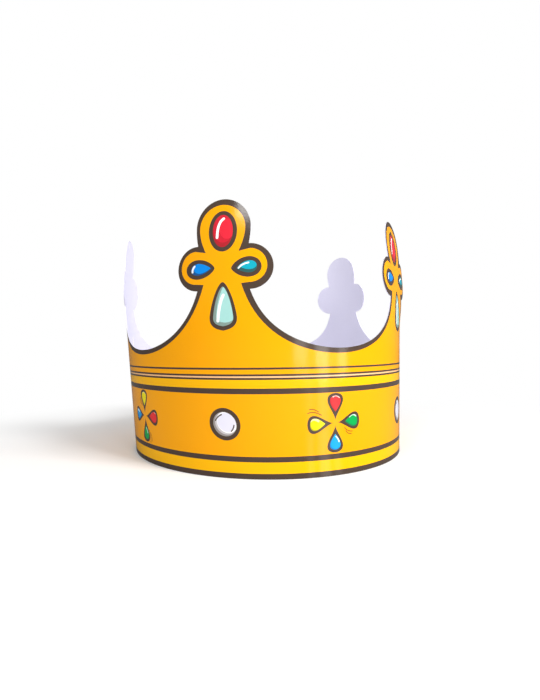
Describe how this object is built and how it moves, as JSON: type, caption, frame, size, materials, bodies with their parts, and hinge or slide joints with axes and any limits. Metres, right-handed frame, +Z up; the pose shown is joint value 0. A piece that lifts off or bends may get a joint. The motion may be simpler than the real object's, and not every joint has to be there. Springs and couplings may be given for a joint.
{
  "type": "paper crown",
  "caption": "Printed card crown: a die-cut strip with trefoil peaks rolled into a ring and lapped, worn on the head.",
  "frame": {"origin": "middle of the crown's box, on the surface it stands on", "axes": "+Z up out of the peaks, -Y through the front peak"},
  "size_m": [0.1916, 0.2006, 0.1405],
  "materials": {
    "printed_card": "gloss laminated print outside, white inside"
  },
  "bodies": {
    "root": {"card_strip": "printed_card"}
  },
  "joints": []
}
